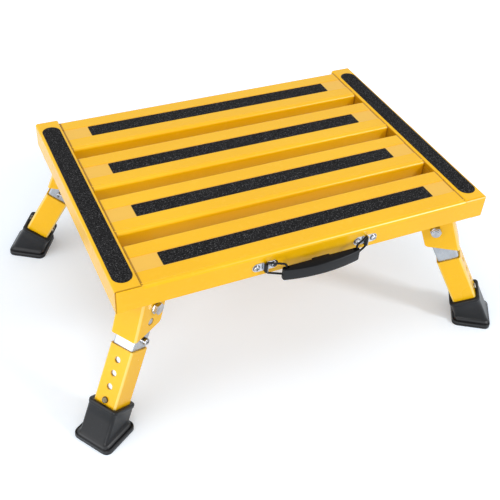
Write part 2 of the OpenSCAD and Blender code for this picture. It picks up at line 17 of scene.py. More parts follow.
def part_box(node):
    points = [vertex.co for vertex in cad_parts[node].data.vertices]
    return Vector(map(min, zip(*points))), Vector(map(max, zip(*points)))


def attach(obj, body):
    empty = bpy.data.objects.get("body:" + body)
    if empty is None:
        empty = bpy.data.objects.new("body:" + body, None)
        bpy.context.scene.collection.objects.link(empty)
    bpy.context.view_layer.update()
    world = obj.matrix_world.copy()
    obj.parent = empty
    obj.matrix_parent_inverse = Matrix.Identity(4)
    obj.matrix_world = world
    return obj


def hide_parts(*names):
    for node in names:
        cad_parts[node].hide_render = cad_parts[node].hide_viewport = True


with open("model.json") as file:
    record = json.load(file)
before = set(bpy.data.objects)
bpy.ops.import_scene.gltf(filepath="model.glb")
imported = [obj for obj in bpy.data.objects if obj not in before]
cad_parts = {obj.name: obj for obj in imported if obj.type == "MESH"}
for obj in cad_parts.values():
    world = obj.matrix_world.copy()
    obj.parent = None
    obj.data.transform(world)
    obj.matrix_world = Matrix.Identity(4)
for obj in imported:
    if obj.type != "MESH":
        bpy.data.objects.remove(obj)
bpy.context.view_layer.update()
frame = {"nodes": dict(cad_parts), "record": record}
nodes = frame["nodes"]

# %% [markdown]
# ## Camera
# A picture of a rectangle can be solved for its camera: the deck's four corners fix where the
# camera stood, how far it was tilted and how long its lens is. The other way, to turn a camera by
# hand until it looks right, is never exact, and every shape is then judged from the wrong place.
# The picture was taken from the front left, 41 degrees up, with a small roll.


# %% New objects
def new_object(name, data):
    made = bpy.data.objects.new(name, data)
    bpy.context.scene.collection.objects.link(made)
    return made


# %% Camera from the solved angles
AZIMUTH, ELEVATION, ROLL = (math.radians(a) for a in (27.52, 40.90, 4.33))
STAND = Vector((-0.39781, -0.77077, 0.80688))
FOCAL_IN_FRAMES = 809.22 / 500
SENSOR, NEAREST, FARTHEST = 36, 0.05, 30


def camera_turn(azimuth, elevation, roll):
    look = Vector((math.sin(azimuth) * math.cos(elevation),
                   math.cos(azimuth) * math.cos(elevation), -math.sin(elevation)))
    right = Vector((math.cos(azimuth), -math.sin(azimuth), 0))
    up = right.cross(look)
    x = math.cos(roll) * right + math.sin(roll) * up
    y = math.cos(roll) * up - math.sin(roll) * right
    return Matrix((x, y, -look)).transposed()


camera = new_object("camera", bpy.data.cameras.new("camera"))
camera.data.sensor_width = SENSOR
camera.data.lens = SENSOR * FOCAL_IN_FRAMES
camera.data.clip_start, camera.data.clip_end = NEAREST, FARTHEST
camera.matrix_world = (Matrix.Translation(STAND)
                       @ camera_turn(AZIMUTH, ELEVATION, ROLL).to_4x4())
bpy.context.scene.camera = camera
print("lens", round(camera.data.lens, 2), "mm, camera at", [round(c, 3) for c in STAND])

# %% [markdown]
# ## Shader maths as plain expressions
# A finish is a network of small nodes. Written out one by one they hide what they do, so one small
# class wraps a socket and lets numbers and sockets be added and multiplied like in any formula. A
# second class holds the network, and one method of it makes every kind of node. Two more methods
# make masks: band rises softly from 0 to 1 between two values, and within is 1 only between them.


# %% A socket that can be calculated with
class Val:
    def __init__(self, net, socket):
        self.net, self.socket = net, socket

    def __add__(self, other):
        return self.net.calc("ADD", self, other)

    def __radd__(self, other):
        return self.net.calc("ADD", other, self)

    def __sub__(self, other):
        return self.net.calc("SUBTRACT", self, other)

    def __rsub__(self, other):
        return self.net.calc("SUBTRACT", other, self)

    def __mul__(self, other):
        return self.net.calc("MULTIPLY", self, other)

    def __rmul__(self, other):
        return self.net.calc("MULTIPLY", other, self)

    def __neg__(self):
        return 0 - self

    def __abs__(self):
        return self.net.calc("ABSOLUTE", self)

    def band(self, low, high):
        return self.net.node("ShaderNodeMapRange", {"interpolation_type": "SMOOTHSTEP"},
                             {"Value": self, "From Min": low, "From Max": high})

    def within(self, low, high, soft):
        return self.band(low - soft, low) * (1 - self.band(high, high + soft))


# %% A network of shader nodes
class Net:
    def __init__(self, tree):
        self.tree = tree

    def node(self, kind, settings=None, inputs=None, out=0):
        made = self.tree.nodes.new(kind)
        for key, value in (settings or {}).items():
            setattr(made, key, value)
        for key, value in (inputs or {}).items():
            self.put(made.inputs[key], value)
        return Val(self, made.outputs[out])

    def put(self, socket, value):
        if isinstance(value, Val):
            self.tree.links.new(value.socket, socket)
        else:
            socket.default_value = value

    def calc(self, operation, *values):
        return self.node("ShaderNodeMath", {"operation": operation}, dict(enumerate(values)))


# %% A finish: one material with its network
MIX_FIRST, MIX_SECOND, MIX_COLOUR = 6, 7, 2


class Finish(Net):
    def __init__(self, name, **constants):
        self.material = bpy.data.materials.new(name)
        self.material.use_nodes = True
        super().__init__(self.material.node_tree)
        self.shader = self.tree.nodes["Principled BSDF"]
        self.feed(**constants)
        self.place = self.node("ShaderNodeTexCoord", out="Object")

    def feed(self, **values):
        for name, value in values.items():
            self.put(self.shader.inputs[name.replace("_", " ")], value)

    def axes(self):
        split = self.tree.nodes.new("ShaderNodeSeparateXYZ")
        self.put(split.inputs[0], self.place)
        return [Val(self, out) for out in split.outputs]

    def noise(self, scale, detail=2.0, roughness=0.5, stretch=(1, 1, 1)):
        where = self.node("ShaderNodeMapping", None, {"Vector": self.place, "Scale": stretch})
        return self.node("ShaderNodeTexNoise", None, {"Vector": where, "Scale": scale,
                                                      "Detail": detail, "Roughness": roughness})

    def mix(self, amount, first, second):
        return self.node("ShaderNodeMix", {"data_type": "RGBA"},
                         {"Factor": amount, MIX_FIRST: first, MIX_SECOND: second}, MIX_COLOUR)

    def bump(self, height, strength, distance):
        return self.node("ShaderNodeBump", None,
                         {"Height": height, "Strength": strength, "Distance": distance})


# %% Colours as they look on a screen
def paint(red, green, blue):
    def linear(c):
        c = c / 255
        return c / 12.92 if c <= 0.04045 else ((c + 0.055) / 1.055) ** 2.4
    return (linear(red), linear(green), linear(blue), 1.0)


print("half grey on a screen is", round(paint(128, 128, 128)[0], 3), "of the light")

# %% [markdown]
# ## Where the legs stand
# All four legs are one assembly, turned to each corner. A point is easiest to give in the leg's own
# frame: outward from the pivot, across, and up. Each corner could have its own list of points in
# the room, but then every change is made four times. One matrix per corner does it once.

# %% One frame per leg
PIVOT = (0.2006, 0.1393, 0.1557)
SPLAY, TURN = math.radians(28.5), math.radians(32.5)
LEAN = Matrix.Rotation(-SPLAY, 4, "Y")
LEG_LENGTH = PIVOT[2] / math.cos(SPLAY)
GROUND_REACH = PIVOT[2] * math.tan(SPLAY)
CORNERS = {"front_left": (-1, -1), "front_right": (1, -1),
           "rear_left": (-1, 1), "rear_right": (1, 1)}


def pivot_frame(sx, sy):
    heading = math.atan2(sy * math.sin(TURN), sx * math.cos(TURN))
    return (Matrix.Translation((sx * PIVOT[0], sy * PIVOT[1], PIVOT[2]))
            @ Matrix.Rotation(heading, 4, "Z"))


print("leg length", round(LEG_LENGTH, 4), "ground reach", round(GROUND_REACH, 4))

# %% [markdown]
# ## Yellow powder coat
# Powder is sprayed dry and baked, which leaves a hard skin with a very fine orange-peel ripple, a
# little deeper in the middle of large faces. Two slow
# noises shift the yellow by a few parts in a hundred, and a fast one makes the ripple.
# Some places differ: the recessed band along every tread is finely knurled and paler. Deep between
# two treads the yellow is painted darker, most at the bottom, as painted shade, and the coat is
# duller there. Painted shade also darkens the joint between treads and rails. Along the apron's
# front bend and the corners of the brackets and the foot tubes pale painted highlights are drawn
# in.
# Each place could be painted by hand on an unwrapped mesh.
# A mask that finds it from where it lies needs no unwrapping and follows the sizes. All four legs
# lie on each other once the signs of x and y are dropped, so one mask serves them all.

# %% Painted highlight lines on the legs
TUBE_EDGE, TUBE_FROM = (0.0293, 0.0299), (0.0562, 0.0572)
BRACKET_LEAN = math.radians(21)
BRACKET_EDGE, BRACKET_Z = (0.0400, 0.0405), (0.10, 0.1755)


def beside_leg(x, y, z, lean):
    over_x, over_y, up = abs(x) - PIVOT[0], abs(y) - PIVOT[1], z - PIVOT[2]
    outward = over_x * math.cos(TURN) + over_y * math.sin(TURN)
    across = abs(over_y * math.cos(TURN) - over_x * math.sin(TURN))
    return (outward * math.cos(lean) + up * math.sin(lean), across,
            outward * math.sin(lean) - up * math.cos(lean))


# Painted highlight: pale lines down the rounded corners of the foot tubes and the brackets.
def leg_edge_highlights(x, y, z):
    out, across, down = beside_leg(x, y, z, SPLAY)
    tube = (abs(out) + across).band(*TUBE_EDGE) * down.band(*TUBE_FROM)
    out, across, down = beside_leg(x, y, z, BRACKET_LEAN)
    bracket = (out + across).band(*BRACKET_EDGE) * (1 - down.band(*TUBE_FROM))
    return tube, bracket * z.within(*BRACKET_Z, 0.001)


# %% Places on the deck
TREAD_PITCH, TREAD_Z, RAIL_IN = 0.091, 0.2096, 0.2110
KNURL_HALF, KNURL_Z = 0.0123, (0.2086, 0.2093)
GAP_FOOT, GAP_FADE, GAP_HALF = (0.1799, 0.1805), (0.186, 0.2075), 0.164
APRON_FACE, APRON_BEND, BEND_HALF = (0.1712, 0.1718), 0.0361, 0.0007
BEND_Z, BEND_FADE = (0.2066, 0.2072), (-0.20, 0.16)


def knurled_band(x, y, z):
    across = (y + 2 * TREAD_PITCH) * (1 / TREAD_PITCH)
    from_middle = abs(y.net.calc("FRACT", across) - 0.5) * TREAD_PITCH
    band = from_middle.within(-1, KNURL_HALF, 0.0004) * z.within(*KNURL_Z, 0.0002)
    return band * abs(x).within(-1, RAIL_IN, 0.0004)


# Painted shade: the skirts deep between two treads are darkened, most at the bottom.
def painted_gap_shade(x, y, z):
    deep = z.band(*GAP_FOOT) * (1 - z.band(*GAP_FADE))
    return deep * abs(x).within(-1, RAIL_IN, 0.0004) * abs(y).within(-1, GAP_HALF, 0.003)


# Painted highlight: a pale line along the apron's front bend, growing brighter to the right.
def apron_bend_highlight(x, y, z):
    bend = (y + z - APRON_BEND).within(-BEND_HALF, BEND_HALF, 0.0005) * (-y).band(*APRON_FACE)
    return bend * z.band(*BEND_Z) * x.band(*BEND_FADE)


# %% Painted shade in the joints
JOINT_FROM, JOINT_HALF, JOINT_Z = 0.2096, 0.169, (0.180, 0.186)
CORNER_X, CORNER_Y, CORNER_Z = (0.2105, 0.2115), (0.1712, 0.1724), (0.208, 0.2095)
END_X, END_FACE, END_Z = (0.2400, 0.2404), (0.1712, 0.1716), (0.176, 0.178)


# Painted shade: dark lines where the treads meet the rails, at the rails' front corner on the left
# and in the step at each end of the apron.
def joint_shade(x, y, z):
    joint = abs(x).within(JOINT_FROM, RAIL_IN, 0.0007) * z.band(*JOINT_Z)
    joint = joint * z.within(0.0, TREAD_Z, 0.0002) * abs(y).within(-1, JOINT_HALF, 0.002)
    corner = abs(x).band(*CORNER_X) * (-y).within(*CORNER_Y, 0.0004)
    corner = corner * (-x).band(0.0, 0.1) * z.band(*CORNER_Z)
    end = abs(x).band(*END_X) * (-y).band(*END_FACE) * z.band(*END_Z)
    return joint * 0.85 + corner * 0.6 + end * 0.5


# %% Yellow powder coat
def yellow_coat():
    f = Finish("yellow_powder_coat", Specular_IOR_Level=0.38)
    cloud = f.noise(6, 3)
    fleck = f.noise(140, 2)
    rub = f.noise(38, 5, 0.65).band(0.70, 0.80)
    tone = f.mix(cloud.band(0.3, 0.7), paint(246, 187, 4), paint(250, 194, 14))
    tone = f.mix(fleck.band(0.55, 0.75) * 0.15, tone, paint(255, 205, 60))
    tone = f.mix(rub * 0.14, tone, paint(214, 152, 8))

    place = f.axes()
    knurl, deep = knurled_band(*place), painted_gap_shade(*place)
    tone = f.mix(knurl * 0.8, tone, paint(240, 190, 84))
    # Painted shade deep between the treads.
    tone = f.mix(deep * 0.45, tone, paint(204, 160, 0))
    # Painted shade in the joints, made a little uneven by the slow noise.
    tone = f.mix(joint_shade(*place) * (0.7 + cloud * 0.5), tone, paint(150, 100, 8))
    # Painted highlights: pale lines along the corners of the foot tubes and brackets and along the
    # apron's front bend.
    tube, bracket = leg_edge_highlights(*place)
    pale = tube * 0.4 + bracket * 0.4 + apron_bend_highlight(*place) * 0.55
    tone = f.mix(pale, tone, paint(255, 240, 168))

    rough = 0.22 + cloud * 0.08 + rub * 0.15 + knurl * 0.16 + deep * 0.25
    fine = f.noise(850, 2) + knurl * f.noise(560, 1) * 2.5
    f.feed(Base_Color=tone, Roughness=rough, Normal=f.bump(fine, 0.10, 0.0004))
    return f.material


# %% [markdown]
# ## Anti-slip tape
# The strips are a film of resin with coarse black grit in it. It is rough and dead black between
# grains and shows pale specks where a grain catches the light. A picture of grit would repeat and
# stretch, so noises at the size of real grains make lumps and specks, and a cell pattern gives each
# grain its own slope. The loose grains on top are real bodies and come further down.


# %% Anti-slip tape
def grit_tape():
    f = Finish("grit_tape", Specular_IOR_Level=0.12)
    grain = f.node("ShaderNodeTexVoronoi", None, {"Vector": f.place, "Scale": 900.0})
    clump = f.noise(430, 2, 0.6).band(0.42, 0.66)
    speck = f.noise(900, 1).band(0.62, 0.72)
    cloud = f.noise(25, 3)
    tone = f.mix(cloud.band(0.3, 0.7), paint(18, 18, 19), paint(25, 25, 26))
    tone = f.mix(clump * 0.42, tone, paint(62, 62, 64))
    tone = f.mix(speck * 0.6, tone, paint(132, 132, 134))
    f.feed(Base_Color=tone, Roughness=0.92 - speck * 0.25, Normal=f.bump(grain, 0.9, 0.0006))
    return f.material


# %% [markdown]
# ## Zinc and steel
# Zinc plate is bright but never a mirror: it has a cloudy spangle and fine draw lines along the
# tube. A smooth metal shader with a grey colour looks like plastic foil, so noises vary its tone
# and its roughness, and a noise stretched along the tube draws the lines. The straps of the grip
# are the palest. One flank of each strap's raised loop is painted black as a painted reflection of
# the black grip, and a dark ring is painted round each screw. The snap buttons are bare steel,
# darker and a little brown.

# %% Painted reflection and dark rings on the grip's straps
STRAP_X, STRAP_Z, SCREW_X = 0.066, 0.1938, 0.011
REFLECTING_FLANK, STRAP_FACE, RING_FROM = (-0.0032, 0.0004), (0.1753, 0.1757), (0.004, 0.005)
RING_SQUARED = (1.3e-5, 2.0e-5)


def strap_reflection_and_rings(f):
    x, y, z = f.axes()
    marks = 0.0
    for side in (-1, 1):
        u = x - side * STRAP_X
        # Painted reflection: one flank of the strap's raised loop is black, as if it mirrored the
        # black grip.
        flank = u.within(*REFLECTING_FLANK, 0.0003) * (-y).band(*STRAP_FACE)
        v, w = abs(u) - SCREW_X, z - STRAP_Z
        # A dark ring is painted round each screw.
        ring = (v * v + w * w).within(*RING_SQUARED, 1.5e-6) * abs(u).band(*RING_FROM)
        marks = marks + flank * 0.95 + ring * 0.7
    return marks


# %% Bright zinc and plain steel
def zinc(name, dark, pale, rough, stretch=(1, 1, 1), marks=None):
    f = Finish(name, Metallic=1.0)
    lines = f.noise(420, 3, 0.6, stretch)
    cloud = f.noise(45, 4, 0.6)
    spot = f.noise(240, 4, 0.7).band(0.62, 0.78)
    tone = f.mix(cloud.band(0.35, 0.65), dark, pale)
    tone = f.mix(spot * 0.35, tone, paint(96, 92, 88))
    if marks:
        # Marks such as the straps' painted reflection go on in near black.
        tone = f.mix(marks(f), tone, paint(16, 15, 14))
    f.feed(Base_Color=tone, Roughness=rough + lines * 0.12 + cloud * 0.08 + spot * 0.2,
           Normal=f.bump(lines, 0.12, 0.0002))
    return f.material


# %% [markdown]
# ## Rubber and black plastic
# Rubber is near black with a sheen and a little dust, and two pale lines are painted round its
# sole as painted highlights. The grip is a fine-grained black moulding; below its top it is painted
# paler as painted light, with a painted highlight along its top front edge. The wires are coated
# black. All three come out of one recipe, because a mould or a dip leaves the same kind of skin:
# only the tones, the gloss, the grain and the painted light differ.

# %% Painted light on grip and feet
GRIP_FACE, GRIP_RIDGE_Z = (0.1942, 0.1950), (0.1944, 0.1953)
GRIP_RIDGE_Y, GRIP_RIDGE_X = (0.1890, 0.1896), (-0.02, 0.035)
SOLE_LINES = ((0.0078, 0.0086, 0.0006), (0.0043, 0.0051, 0.0005))


# Painted light: the grip is paler below its top face, and a pale painted highlight runs along its
# top front edge, brighter to the right.
def grip_painted_light(f):
    x, y, z = f.axes()
    face = 1 - z.band(*GRIP_FACE)
    ridge = z.within(*GRIP_RIDGE_Z, 0.0003) * (-y).band(*GRIP_RIDGE_Y) * x.band(*GRIP_RIDGE_X)
    return face * 0.5 + ridge * 0.75


# Painted highlights: two pale lines round the sole's flange.
def sole_highlights(f):
    z = f.axes()[2]
    upper, lower = (z.within(*line) for line in SOLE_LINES)
    return (upper + lower) * 0.5


# %% Rubber and black plastic
def moulded(name, dark, pale, gloss, rough, grain_scale, grain_depth, painted_light=None):
    f = Finish(name, Specular_IOR_Level=gloss)
    cloud = f.noise(30, 4, 0.6)
    dust = f.noise(260, 3, 0.7).band(0.58, 0.80)
    tone = f.mix(cloud.band(0.3, 0.7), dark, pale)
    tone = f.mix(dust * 0.12, tone, paint(84, 84, 86))
    # Painted light, such as highlights, goes on in pale grey.
    if painted_light:
        tone = f.mix(painted_light(f), tone, paint(62, 64, 67))
    f.feed(Base_Color=tone, Roughness=rough + cloud * 0.12,
           Normal=f.bump(f.noise(grain_scale, 2), 0.35, grain_depth))
    return f.material


# %% [markdown]
# ## A finish for every part
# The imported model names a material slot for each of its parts. A table of finishes under the same
# names lets one loop dress them all, where a list of parts would grow with every bolt. The straps
# share a slot with other zinc parts, and the snap buttons share one with the bolts. Both look
# different from those, so they have a line of their own.

# %% All finishes
finishes = {
    "deck_paint": yellow_coat(),
    "strip": grit_tape(),
    "zinc": zinc("zinc_plate", paint(167, 170, 175), paint(185, 188, 192), 0.16,
                 stretch=(1, 1, 0.12)),
    "fastener": zinc("bright_fastener", paint(158, 158, 160), paint(196, 197, 200), 0.08),
    "strap": zinc("strap_zinc", paint(196, 198, 203), paint(214, 217, 222), 0.14,
                  marks=strap_reflection_and_rings),
    "snap": zinc("snap_steel", paint(96, 86, 66), paint(150, 142, 124), 0.10),
    "spring_steel": zinc("spring_steel", paint(150, 152, 156), paint(176, 178, 182), 0.30),
    "foot_rubber": moulded("foot_rubber", paint(19, 20, 22), paint(27, 28, 31),
                           0.27, 0.27, 700, 0.0002, sole_highlights),
    "grip_plastic": moulded("grip_plastic", paint(5, 5, 6), paint(9, 9, 10),
                            0.10, 0.30, 1100, 0.0001, grip_painted_light),
    "black_wire": moulded("black_wire", paint(12, 12, 13), paint(20, 20, 21),
                          0.15, 0.22, 900, 0.0001),
}
print("finishes", sorted(finishes))

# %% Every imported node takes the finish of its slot
OWN_FINISH = {"handle_strap": "strap", "snap_out": "snap", "snap_in": "snap"}


def finish_of(part):
    for start, own in OWN_FINISH.items():
        if part["node"].startswith(start):
            return finishes[own]
    return finishes[part["material_slot"]]


for part in frame["record"]["subparts"]:
    slots = nodes[part["node"]].data.materials
    slots.clear()
    slots.append(finish_of(part))

# %% [markdown]
# ## Lofts
# Moulded rubber and plastic have no sharp corner anywhere, because a mould can't hold one. A box
# with a bevel on it gives every edge the same rounding. A stack of rings gives each its own: every
# ring has the same number of points, faces join ring to ring, and close rings round an edge.


# %% A plain mesh and a ring
def plain_object(name, points, edges=(), faces=()):
    mesh = bpy.data.meshes.new(name)
    mesh.from_pydata([tuple(p) for p in points], list(edges), list(faces))
    return new_object(name, mesh)


def rounded_ring(x0, x1, y0, y1, radius, steps=6):
    points = []
    for cx, cy, start in ((x1 - radius, y1 - radius, 0), (x0 + radius, y1 - radius, 90),
                          (x0 + radius, y0 + radius, 180), (x1 - radius, y0 + radius, 270)):
        for i in range(steps + 1):
            a = math.radians(start + 90 * i / steps)
            points.append((cx + radius * math.cos(a), cy + radius * math.sin(a)))
    return points


# %% Loft from ring to ring
SHARP_FROM = math.radians(40)


def loft(name, rings):
    count, last = len(rings[0]), len(rings) - 1
    faces = []
    for r in range(last):
        for i in range(count):
            j = (i + 1) % count
            faces.append((r * count + i, r * count + j, (r + 1) * count + j, (r + 1) * count + i))
    faces.append(tuple(reversed(range(count))))
    faces.append(tuple(range(last * count, (last + 1) * count)))
    made = plain_object(name, [p for ring in rings for p in ring], faces=faces)
    work = bmesh.new()
    work.from_mesh(made.data)
    bmesh.ops.recalc_face_normals(work, faces=work.faces)
    work.to_mesh(made.data)
    work.free()
    for face in made.data.polygons:
        face.use_smooth = True
    made.data.set_sharp_from_angle(angle=SHARP_FROM)
    return made


# %% Cutting one piece out of another
def cut(body, cutter):
    modifier = body.modifiers.new("cut", "BOOLEAN")
    modifier.operation, modifier.solver, modifier.object = "DIFFERENCE", "EXACT", cutter
    bpy.context.view_layer.update()
    seen = body.evaluated_get(bpy.context.evaluated_depsgraph_get())
    mesh = bpy.data.meshes.new_from_object(seen)
    body.modifiers.clear()
    body.data = mesh
    bpy.data.objects.remove(cutter)
    mesh.set_sharp_from_angle(angle=SHARP_FROM)


# %% [markdown]
# ## Rubber feet
# Each foot is a boot pushed over the foot tube, with a thicker rim at the top, a plain square shaft
# and a flared sole that stands flat although the leg leans. It could be joined from a tube and a
# block, but the seam between them would show. The shaft is square to the leg and the sole is square
# to the floor, so one loft turns from the one to the other near the ground.

# %% Measures of a foot
TUBE_HALF, BOOT_HALF, RIM_HALF = 0.01605, 0.0202, 0.0210
BOOT_CORNER, CORNER_GROWTH = 0.0052, 0.0028
FOOT_TUBE_END = LEG_LENGTH - 0.0187
RIM_AT = FOOT_TUBE_END - 0.027
# Down the leg: how far from the pivot, half the width, radius of the corners
SHAFT_STEPS = (
    (FOOT_TUBE_END, 0.0140, 0.0014), (FOOT_TUBE_END, TUBE_HALF, 0.0030),
    (RIM_AT + 0.0012, TUBE_HALF, 0.0030), (RIM_AT + 0.0003, 0.0166, 0.0034),
    (RIM_AT, 0.0174, 0.0038), (RIM_AT, 0.0199, 0.0050), (RIM_AT + 0.0003, 0.0206, 0.0055),
    (RIM_AT + 0.0012, RIM_HALF, 0.0058), (RIM_AT + 0.0040, RIM_HALF, 0.0058),
    (RIM_AT + 0.0049, 0.0207, 0.0056), (RIM_AT + 0.0058, BOOT_HALF, BOOT_CORNER),
    (RIM_AT + 0.0180, BOOT_HALF, BOOT_CORNER))
# Down to the floor: how high, how much of the way from the shaft's shape to the sole's
SOLE_STEPS = (
    (0.0125, 0.0), (0.0105, 0.05), (0.0092, 0.14), (0.0082, 0.28), (0.0075, 0.42), (0.0070, 0.52),
    (0.0063, 0.53), (0.0058, 0.56), (0.0060, 0.64), (0.0062, 0.74), (0.0060, 0.85), (0.0054, 0.94),
    (0.0046, 0.985), (0.0036, 1.0), (0.0006, 1.0), (0.0, 0.98))
SOLE_IN, SOLE_OUT, SOLE_HALF = -0.0307, 0.022, 0.0275
print("boot from", round(RIM_AT, 4), "to the floor at", round(LEG_LENGTH, 4), "down the leg")


# %% Rubber feet
def boot_rings(corner_frame):
    rings = []
    for down, half, radius in SHAFT_STEPS:
        flat = rounded_ring(-half, half, -half, half, radius)
        rings.append([corner_frame @ LEAN @ Vector((x, y, -down)) for x, y in flat])
    tilted = BOOT_HALF / math.cos(SPLAY)
    for height, share in SOLE_STEPS:
        middle = GROUND_REACH - height * math.tan(SPLAY)
        x0 = (1 - share) * (middle - tilted) + share * (GROUND_REACH + SOLE_IN)
        x1 = (1 - share) * (middle + tilted) + share * (GROUND_REACH + SOLE_OUT)
        y1 = (1 - share) * BOOT_HALF + share * SOLE_HALF
        flat = rounded_ring(x0, x1, -y1, y1, BOOT_CORNER + CORNER_GROWTH * share)
        rings.append([corner_frame @ Vector((x, y, height - PIVOT[2])) for x, y in flat])
    return rings


for corner, (sx, sy) in CORNERS.items():
    boot = loft("boot_" + corner, boot_rings(pivot_frame(sx, sy)))
    boot.data.materials.append(finishes["foot_rubber"])
    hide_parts("foot_" + corner)
    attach(boot, "lower_leg_" + corner)
print("boots", len(CORNERS), "faces each", len(boot.data.polygons))

# %% [markdown]
# ## Carry grip
# The grip is a solid moulding with a straight back and an arched front, a thicker middle behind and
# soft edges all round. It is lofted along its length; the last rings at each end draw in for the
# rounded end. Each wire bail hooks into a slot that is open at the top and, lower down, at the end,
# so that the wire can turn and slide when the grip is lifted. Rings can't make an opening, so both
# slots are cut after the loft.

# %% Rings of the carry grip
GRIP = {"half": 0.050, "top": 0.1958, "bottom": 0.1793, "back": -0.1845, "front": -0.1905,
        "bulge": 0.006, "ridge": 0.0019, "ridge_half": 0.0115, "ridge_edge": 0.0016,
        "corner": 0.0014}
# At each end: how far in from the end, how far the ring is drawn in
END_STEPS = ((0, 0.0014), (0.0002, 0.0008), (0.0006, 0.0003), (0.0012, 0.0001), (0.0020, 0))
EVEN_HALF, EVEN_STEPS, EDGE_STEPS = 0.0470, 56, (0.0106, 0.0112, 0.0118, 0.0124)


def grip_depth(x):
    radius = (GRIP["half"] ** 2 + GRIP["bulge"] ** 2) / (2 * GRIP["bulge"])
    front = GRIP["front"] - GRIP["bulge"] + radius - math.sqrt(radius ** 2 - x ** 2)
    inside = GRIP["ridge_half"] + GRIP["ridge_edge"] / 2 - abs(x)
    edge = min(1, max(0, inside / GRIP["ridge_edge"]))
    return front, GRIP["back"] + GRIP["ridge"] * edge * edge * (3 - 2 * edge)


def grip_rings():
    middle = [-EVEN_HALF + 2 * EVEN_HALF * i / EVEN_STEPS for i in range(EVEN_STEPS + 1)]
    middle += [side * x for side in (-1, 1) for x in EDGE_STEPS]
    stations = [(-GRIP["half"] + inward, draw) for inward, draw in END_STEPS]
    stations += [(x, 0) for x in sorted(middle)]
    stations += [(GRIP["half"] - inward, draw) for inward, draw in reversed(END_STEPS)]
    rings = []
    for x, draw in stations:
        front, back = grip_depth(x)
        flat = rounded_ring(front + draw, back - draw, GRIP["bottom"] + draw, GRIP["top"] - draw,
                            GRIP["corner"], 4)
        rings.append([Vector((x, y, z)) for y, z in flat])
    return rings


# %% Carry grip with its slots
SLOT_Y, SLOT_HALF = -0.1876, 0.0016
SLOT_PROFILE = ((0.0420, 0.1846), (0.0600, 0.1846), (0.0600, 0.1878), (0.0486, 0.1878),
                (0.0486, 0.2000), (0.0420, 0.2000))


def bail_slots():
    points, faces = [], []
    count = len(SLOT_PROFILE)
    for side in (-1, 1):
        first = len(points)
        points += [(side * x, SLOT_Y + y, z) for y in (-SLOT_HALF, SLOT_HALF)
                   for x, z in SLOT_PROFILE]
        ends = [tuple(range(first, first + count)),
                tuple(reversed(range(first + count, first + 2 * count)))]
        sides = [(first + i, first + count + i, first + count + (i + 1) % count,
                  first + (i + 1) % count) for i in range(count)]
        faces += [f if side == 1 else tuple(reversed(f)) for f in ends + sides]
    return plain_object("bail_slots", points, faces=faces)


grip = loft("carry_grip", grip_rings())
cut(grip, bail_slots())
grip.data.materials.clear()
grip.data.materials.append(finishes["grip_plastic"])
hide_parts("handle_grip")
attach(grip, "grip")
print("grip faces", len(grip.data.polygons))

# %% [markdown]
# ## Growing small things in numbers
# Grains of grit and the ripples of a weld are hundreds of small bodies along a surface or a line.
# Placed one by one they would fill the script. Geometry Nodes place them by rule: this class builds
# a node tree with named sizes, runs it on a base object once, and hands back a plain mesh, which
# every other program can read.


# %% A Geometry Nodes tree with named sizes
class Growth:
    def __init__(self, name):
        self.tree = bpy.data.node_groups.new(name, "GeometryNodeTree")
        face = self.tree.interface
        face.new_socket("Base", in_out="INPUT", socket_type="NodeSocketGeometry")
        face.new_socket("Grown", in_out="OUTPUT", socket_type="NodeSocketGeometry")
        self.entry = self.tree.nodes.new("NodeGroupInput")
        self.sizes = {}

    def size(self, name, value):
        made = self.tree.interface.new_socket(name, in_out="INPUT", socket_type="NodeSocketFloat")
        self.sizes[made.identifier] = value
        return self.entry.outputs[name]

    def node(self, kind, settings=None, inputs=None, out=0):
        made = self.tree.nodes.new(kind)
        for key, value in (settings or {}).items():
            setattr(made, key, value)
        for key, value in (inputs or {}).items():
            if isinstance(value, bpy.types.NodeSocket):
                self.tree.links.new(value, made.inputs[key])
            else:
                made.inputs[key].default_value = value
        return made.outputs[out]

    def finish(self, grown, material):
        real = self.node("GeometryNodeRealizeInstances", None, {0: grown})
        done = self.node("GeometryNodeSetMaterial", None, {0: real, "Material": material})
        end = self.tree.nodes.new("NodeGroupOutput")
        self.tree.links.new(done, end.inputs["Grown"])

    def grow(self, name, base):
        modifier = base.modifiers.new(name, "NODES")
        modifier.node_group = self.tree
        for identifier, value in self.sizes.items():
            modifier[identifier] = value
        bpy.context.view_layer.update()
        seen = base.evaluated_get(bpy.context.evaluated_depsgraph_get())
        made = new_object(name, bpy.data.meshes.new_from_object(seen))
        bpy.data.objects.remove(base)
        print(name, "grown:", len(made.data.polygons), "faces")
        return made


# %% [markdown]
# ## Tape films and loose grit
# The tape is a thin resin film with loose grit pressed into it. One thick strip with a bump on it
# would have a clean edge, which real tape never has. So the film is lofted with a soft edge, half
# as thick as the tape, and grains are scattered over it and fill the rest of the thickness.

# %% Tape films
TREADS = ("front", "second", "third", "rear")
FILM, STRIP_CORNER = 0.0004, 0.0012
FILM_STEPS = ((0.0, 0.0), (FILM * 0.7, 0.0), (FILM, 0.00025))
tapes = {}
for name in TREADS + ("rail_left", "rail_right"):
    low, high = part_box("strip_" + name)
    round_ended = "rail" in name
    radius = (high[0] - low[0]) / 2 - 1e-5 if round_ended else STRIP_CORNER
    rings = []
    for z, draw in FILM_STEPS:
        flat = rounded_ring(low[0] + draw, high[0] - draw, low[1] + draw, high[1] - draw,
                            radius - draw, 16 if round_ended else 4)
        rings.append([Vector((x, y, low[2] + z)) for x, y in flat])
    film = loft("tape_" + name, rings)
    film.data.materials.append(finishes["strip"])
    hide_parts("strip_" + name)
    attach(film, "deck")
    tapes[name] = rings[-1]
print("tape films", len(tapes))

